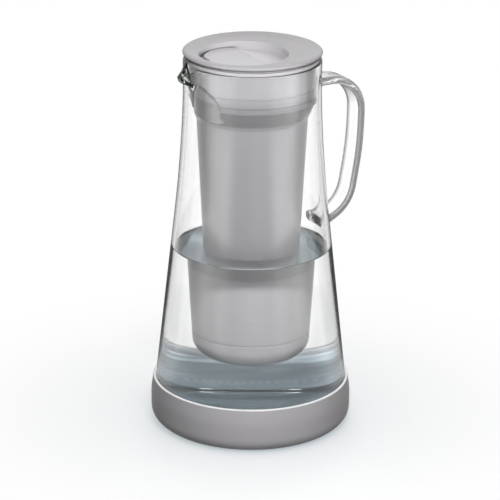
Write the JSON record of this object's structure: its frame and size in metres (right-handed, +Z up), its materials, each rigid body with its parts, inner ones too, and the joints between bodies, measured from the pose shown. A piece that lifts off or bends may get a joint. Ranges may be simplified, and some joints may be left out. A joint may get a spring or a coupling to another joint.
{
  "type": "water filter pitcher",
  "caption": "Tall glass water filter jug with a handle, a pouring spout, a soft base, a lift-out filtering reservoir and a round lid with a hinged fill flap.",
  "frame": {"origin": "middle of the underside, where the jug's upright axis meets the table", "axes": "+Z up along the jug's axis, +X towards the handle, -X towards the spout"},
  "size_m": [0.1571, 0.1408, 0.2699],
  "materials": {
    "clear_glass": "clear borosilicate glass, polished",
    "shell_plastic": "warm grey moulded plastic, satin",
    "silicone": "warm grey silicone, matt",
    "white_plastic": "white moulded plastic, satin",
    "resin": "cast potting resin, glossy",
    "felt": "white fibre and felt, dull",
    "carbon": "packed activated carbon grains, dull",
    "steel": "stainless steel pin, drawn"
  },
  "bodies": {
    "jug": {"glass_jug": "clear_glass", "glass_handle": "clear_glass", "silicone_base": "silicone"},
    "reservoir": {"reservoir": "shell_plastic", "neck_gasket": "silicone", "cap_seal": "silicone"},
    "lid": {"lid": "shell_plastic", "lid_plug_ring": "shell_plastic", "lid_seal": "silicone", "flap_hinge_pin": "steel"},
    "flap": {"fill_flap": "shell_plastic"},
    "membrane": {"membrane_base": "white_plastic", "membrane_o_ring": "silicone", "membrane_potting": "resin", "membrane_fibres": "felt", "membrane_cage": "white_plastic", "membrane_cap": "white_plastic"},
    "carbon": {"carbon_cup": "white_plastic", "carbon_bottom_pad": "felt", "carbon_media": "carbon", "carbon_top_pad": "felt", "carbon_cover": "white_plastic", "carbon_gasket": "silicone"},
    "cap": {"filter_cap": "shell_plastic"}
  },
  "joints": [
    {"name": "reservoir_lift", "type": "slide", "parent": "jug", "child": "reservoir", "axis": [0, 0, 1], "range_m": [0, 0.24]},
    {"name": "lid_lift", "type": "slide", "parent": "reservoir", "child": "lid", "axis": [0, 0, 1], "range_m": [0, 0.06]},
    {"name": "flap_hinge", "type": "hinge", "parent": "lid", "child": "flap", "pos_m": [-0.0347, 0, 0.262], "axis": [0, -1, 0], "range_deg": [0, 70]},
    {"name": "membrane_twist", "type": "hinge", "parent": "reservoir", "child": "membrane", "pos_m": [0, 0, 0.075], "axis": [0, 0, 1], "range_deg": [0, 70]},
    {"name": "carbon_drop", "type": "slide", "parent": "reservoir", "child": "carbon", "axis": [0, 0, -1], "range_m": [0, 0.0121]},
    {"name": "cap_turn", "type": "hinge", "parent": "carbon", "child": "cap", "pos_m": [0, 0, 0.055], "axis": [0, 0, -1], "range_deg": [0, 720]}
  ],
  "couplings": [
    {"joint": "carbon_drop", "follows": "cap_turn", "m_per_rad": 0.00095493}
  ]
}
